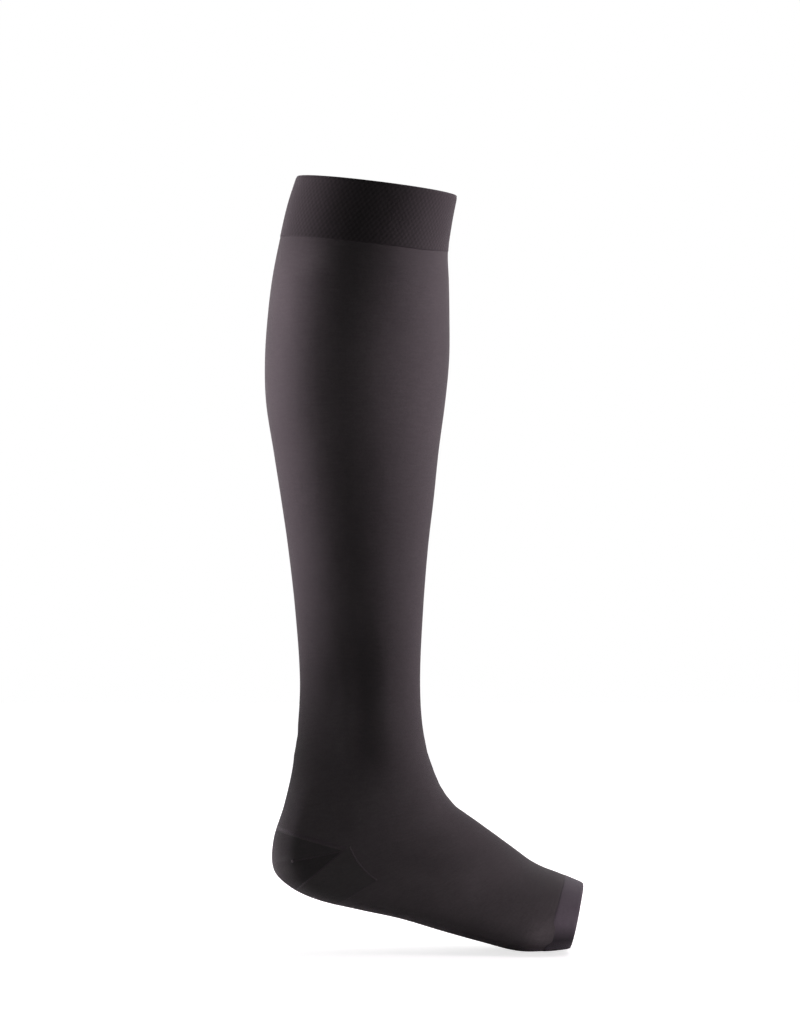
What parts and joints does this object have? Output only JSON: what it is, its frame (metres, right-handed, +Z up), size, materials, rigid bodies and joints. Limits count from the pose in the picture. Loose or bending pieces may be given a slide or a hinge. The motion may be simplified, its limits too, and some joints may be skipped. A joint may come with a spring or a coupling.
{
  "type": "compression stocking",
  "caption": "Knitted below-knee compression stocking with an open toe, filled out as worn: a hollow leg and foot tube with a top band, heel pocket, heel gusset and toe hem.",
  "frame": {"origin": "middle of the knit band below the knee, on the axis of the leg, where the wearer's leg holds the stocking", "axes": "+Z up the leg, +X towards the toes, +Y towards the inner side of a right leg"},
  "size_m": [0.1914, 0.11, 0.4643],
  "materials": {
    "top_band_knit": "matt black double knit with a fine slanting relief",
    "body_knit": "fine opaque black elastic knit with a soft sheen at grazing angles",
    "heel_knit": "denser matt black knit",
    "gusset_knit": "fine black elastic knit, a little denser than the foot",
    "toe_hem_knit": "soft dark grey hem knit"
  },
  "bodies": {
    "root": {"top_band": "top_band_knit", "leg": "body_knit", "heel": "heel_knit", "heel_gusset": "gusset_knit", "foot": "body_knit", "toe_band": "toe_hem_knit"}
  },
  "joints": []
}
